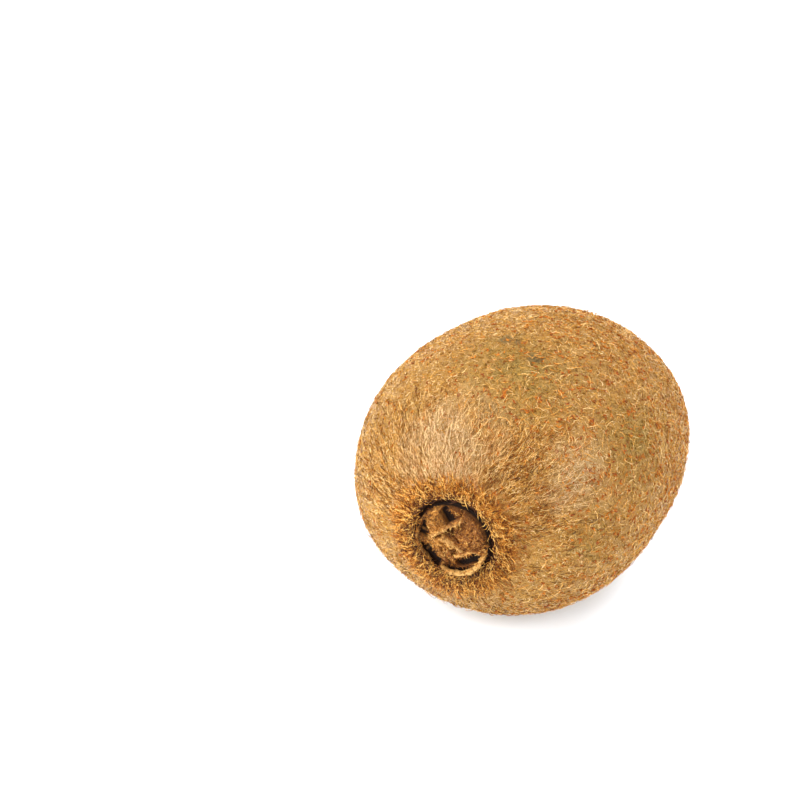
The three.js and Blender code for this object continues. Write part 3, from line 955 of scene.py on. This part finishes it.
to_right = 0.3 + smooth_step(np.cos(place_around), -0.6, 0.7)
weight = smooth_step(stem_radius, 12.0, 20.0) * smooth_step(blossom_radius, 4.0, 8.0) * to_right
along, around, rng = scattered(LONG_HAIRS, 150, weight)
hair_piece(
    "long_strands",
    along,
    around,
    turned_headings(along, around, rng.uniform(0, 2 * math.pi, LONG_HAIRS)),
    rng,
    length=(1.5, 3.0),
    girth=(0.11, 0.16),
    lift=(0.25, 0.55),
    curl=1.3,
    steps=3,
    seed=151,
    material=hair_material(
        "pale strand",
        [(0.32, 0.100, 0.011), (0.53, 0.210, 0.028), (0.70, 0.35, 0.080), (0.82, 0.54, 0.22)],
    ),
)

weight = smooth_step(stem_radius, 9.5, 12.0) * smooth_step(blossom_radius, 4.0, 8.0) * to_right
along, around, rng = scattered(CLUSTERS, 160, weight)
cluster_size = np.repeat(rng.uniform(0.6, 1.25, CLUSTERS), CLUSTER_HAIRS)
along = np.repeat(along, CLUSTER_HAIRS) + rng.normal(0, CLUSTER_SPREAD, CLUSTERS * CLUSTER_HAIRS)
around = np.repeat(around, CLUSTER_HAIRS) + rng.normal(0, CLUSTER_SPREAD, CLUSTERS * CLUSTER_HAIRS)
hair_piece(
    "freckle_clusters",
    along,
    around,
    turned_headings(along, around, rng.uniform(0, 2 * math.pi, len(along))),
    rng,
    length=(0.55, 0.8),
    girth=(0.26, 0.38),
    lift=(0.35, 0.85),
    curl=0.5,
    steps=2,
    seed=161,
    material=hair_material(
        "freckle hair",
        [(0.20, 0.045, 0.008), (0.32, 0.080, 0.012), (0.44, 0.125, 0.016), (0.54, 0.19, 0.025)],
    ),
    size=cluster_size,
)

# The stem end's hairs: longer ones that lie outwards like spokes, and a dense collar of stiff rusty and
# dark brown ones round the groove. They grow out of the skin right up to the groove's edge.
SPOKE_HAIRS = 3600
COLLAR_HAIRS = 5200

upper_side = 0.15 + smooth_step(np.sin(place_around), -0.1, 0.7)
weight = smooth_step(stem_radius, 8.4, 10.5) * (1 - smooth_step(stem_radius, 14, 24)) * upper_side
along, around, rng = scattered(SPOKE_HAIRS, 301, weight)
_, lengthways, roundways = skin_directions(along, around)
hair_piece(
    "stem_spokes",
    along,
    around,
    unit(lengthways + roundways * rng.normal(0, 0.2, SPOKE_HAIRS)[:, None]),
    rng,
    length=(2.0, 3.6),
    girth=(0.09, 0.14),
    lift=(0.12, 0.4),
    curl=0.35,
    steps=3,
    seed=302,
    material=hair_material(
        "spoke hair",
        [(0.07, 0.020, 0.004), (0.30, 0.095, 0.012), (0.56, 0.265, 0.052), (0.78, 0.49, 0.18)],
        on_coat=True,
        dark_ring=(0.0150, 0.0112, 0.47),
    ),
)

collar_start = 7.25 + 0.45 * open_side
weight = smooth_step(stem_radius, collar_start, collar_start + 0.3)
weight = weight * (1 - smooth_step(stem_radius, 8.6, 12.0))
along, around, rng = scattered(COLLAR_HAIRS, 311, weight)
hair_piece(
    "stem_collar",
    along,
    around,
    turned_headings(along, around, rng.normal(0, 0.85, COLLAR_HAIRS)),
    rng,
    length=(1.2, 2.9),
    girth=(0.10, 0.17),
    lift=(0.4, 1.1),
    curl=0.6,
    steps=3,
    seed=312,
    material=hair_material(
        "collar hair",
        [(0.06, 0.016, 0.004), (0.34, 0.092, 0.010), (0.62, 0.252, 0.036), (0.86, 0.49, 0.13)],
        dark_ring=(0.0134, 0.0112, 0.64),
    ),
)

# The blossom end's tuft: a dense patch of longer orange-rust hairs round the withered styles. They grow out
# of the skin and lean away from the dimple.
TUFT_HAIRS = 4200

weight = smooth_step(blossom_radius, 2.0, 2.8) * (1 - smooth_step(blossom_radius, 4.0, 15.0)) ** 1.5
along, around, rng = scattered(TUFT_HAIRS, 401, weight)
hair_piece(
    "blossom_tuft",
    along,
    around,
    turned_headings(along, around, rng.normal(0, 1.0, TUFT_HAIRS), way=-1),
    rng,
    length=(1.2, 2.8),
    girth=(0.11, 0.18),
    lift=(0.4, 1.0),
    curl=0.8,
    steps=3,
    seed=402,
    material=hair_material(
        "rusty hair",
        [(0.16, 0.046, 0.007), (0.45, 0.155, 0.017), (0.68, 0.30, 0.048), (0.84, 0.51, 0.15)],
    ),
)

# The felt of the calyx: very short golden-brown hairs that grow on the dried sepals and along the two rolled
# lips, painted paler where they stand high as a painted highlight.
FELT_HAIRS = 4200
FELT_REACH = 6.5
# The height of the cap under which no felt grows.
FELT_LOWEST = 0.8
# How many hairs follow each lip's line.
LIP_FELT_HAIRS = {"low_lip": 500, "left_lip": 200}

rng = np.random.default_rng(501)
felt_radius = FELT_REACH * np.sqrt(rng.random(FELT_HAIRS))
felt_turn = rng.uniform(0, 2 * math.pi, FELT_HAIRS)
felt_x, felt_z = felt_radius * np.cos(felt_turn), felt_radius * np.sin(felt_turn)
felt_height = cap_height(felt_x, felt_z)
kept = felt_height > FELT_LOWEST
lip_middle = np.concatenate([smooth_line(LIP_LINES[lip][0], count) for lip, count in LIP_FELT_HAIRS.items()])
lip_side = rng.normal(0, 0.2, (len(lip_middle), 2))
felt_x = np.concatenate([felt_x[kept], lip_middle[:, 0] + lip_side[:, 0]])
felt_z = np.concatenate([felt_z[kept], lip_middle[:, 1] + lip_side[:, 1]])
felt_height = np.concatenate([felt_height[kept], lip_middle[:, 2] + 0.5])
felt_count = len(felt_x)
felt_heading = rng.uniform(0, 2 * math.pi, felt_count)
felt_points, felt_faces, felt_tones = hair_strands(
    calyx_points(felt_x, felt_z, felt_height),
    np.tile([0.0, -1.0, 0.0], (felt_count, 1)),
    np.stack([np.cos(felt_heading), np.zeros(felt_count), np.sin(felt_heading)], -1),
    length=rng.uniform(0.4, 1.0, felt_count),
    girth=rng.uniform(0.08, 0.13, felt_count),
    lift=rng.uniform(0.3, 0.9, felt_count),
    curl=rng.normal(0, 1.0, felt_count),
    steps=2,
    seed=502,
)
per_strand = len(felt_tones) // felt_count
# Painted highlight: each felt hair's tone is raised by the height at which it grows.
felt_tones = felt_tones * 0.75 + np.repeat(0.28 * smooth_step(felt_height, 1.3, 2.7), per_strand) - 0.02
felt_hair = hair_material(
    "felt hair",
    [(0.02, 0.007, 0.003), (0.18, 0.052, 0.009), (0.46, 0.175, 0.028), (0.78, 0.46, 0.13)],
)
felt = mesh_piece("calyx_felt", laid(felt_points), felt_faces, felt_hair, felt_tones)
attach(felt, "root")

# The studio: a wide matt white table that the fruit lies on, six large soft lamps round it and a dim white
# sky, and the camera, which stands where the photo was taken from.
TABLE_REACH = 3.0
FRUIT_MIDDLE_HEIGHT = 0.025
LAMP_DISTANCE = 0.8
# Each lamp as the way that it stands, round from the front and upwards in degrees, its size and its power.
LAMPS = {
    "left_lamp": (-53, 40, 0.5, 7.7),
    "front_left_lamp": (-30, 15, 0.5, 5.4),
    "front_lamp": (25, 40, 0.5, 4.5),
    "right_lamp": (88, 30, 0.4, 3.7),
    "back_lamp": (160, 45, 0.5, 7.0),
    "back_left_lamp": (-140, 45, 0.5, 3.0),
}
CAMERA_AZIMUTH = math.radians(25.18)
CAMERA_ELEVATION = math.radians(33.79)
CAMERA_DISTANCE = 700.0
FRUIT_RIGHT = 23.41
FRUIT_UP = -9.78
PIXELS_PER_MM = 5.4746
FRAME_PIXELS = 800

floor_material, nodes, shader, place = new_material("white table")
clean = nodes.blend(nodes.noise(place, 0.05, 2.0, 0.0, 2.0), (0.80, 0.86, 0.92), (0.82, 0.88, 0.94))
nodes.tree.links.new(clean, shader.inputs["Base Color"])
shader.inputs["Roughness"].default_value = 0.7
shader.inputs["Emission Color"].default_value = (0.88, 0.95, 1.0, 1.0)
seen = nodes.add("ShaderNodeLightPath").outputs["Is Camera Ray"]
glow = nodes.math("ADD", 0.70, nodes.math("MULTIPLY", seen, -0.58))
nodes.tree.links.new(glow, shader.inputs["Emission Strength"])
floor = mesh_piece(
    "table_top",
    np.array([[-1, -1, 0], [1, -1, 0], [1, 1, 0], [-1, 1, 0]]) * TABLE_REACH,
    np.array([[0, 1, 2], [0, 2, 3]]),
    floor_material,
)

world = bpy.data.worlds.new("studio")
bpy.context.scene.world = world
world.use_nodes = True
world.node_tree.nodes["Background"].inputs["Color"].default_value = (1.0, 1.0, 1.0, 1.0)
world.node_tree.nodes["Background"].inputs["Strength"].default_value = 0.12


def aimed(name, data, location, back):
    """A lamp or camera in this place, which looks against the way back."""
    holder = bpy.data.objects.new(name, data)
    holder.location = location
    holder.rotation_mode = "QUATERNION"
    holder.rotation_quaternion = (-back).to_track_quat("-Z", "Y")
    bpy.context.scene.collection.objects.link(holder)
    return holder


for lamp_name, (azimuth, elevation, size, power) in LAMPS.items():
    lamp = bpy.data.lights.new(lamp_name, "AREA")
    lamp.shape = "SQUARE"
    lamp.size = size
    lamp.energy = power
    a, e = math.radians(azimuth), math.radians(elevation)
    back = Vector((math.sin(a) * math.cos(e), -math.cos(a) * math.cos(e), math.sin(e)))
    aimed(lamp_name, lamp, back * LAMP_DISTANCE + Vector((0, 0, FRUIT_MIDDLE_HEIGHT)), back)

camera_data = bpy.data.cameras.new("camera")
camera_data.sensor_width = 36.0
camera_data.lens = PIXELS_PER_MM * CAMERA_DISTANCE * camera_data.sensor_width / FRAME_PIXELS
camera_data.clip_start = 0.01
camera_data.clip_end = 20.0
right = Vector((math.cos(CAMERA_AZIMUTH), math.sin(CAMERA_AZIMUTH), 0))
level_back = Vector((math.sin(CAMERA_AZIMUTH), -math.cos(CAMERA_AZIMUTH), 0))
back = level_back * math.cos(CAMERA_ELEVATION) + Vector((0, 0, math.sin(CAMERA_ELEVATION)))
upward = back.cross(right)
from_fruit = back * CAMERA_DISTANCE - right * FRUIT_RIGHT - upward * FRUIT_UP
bpy.context.scene.camera = aimed("camera", camera_data, (from_fruit + Vector(LIE_SHIFT)) * MM, back)
bpy.context.scene.view_settings.view_transform = "Standard"
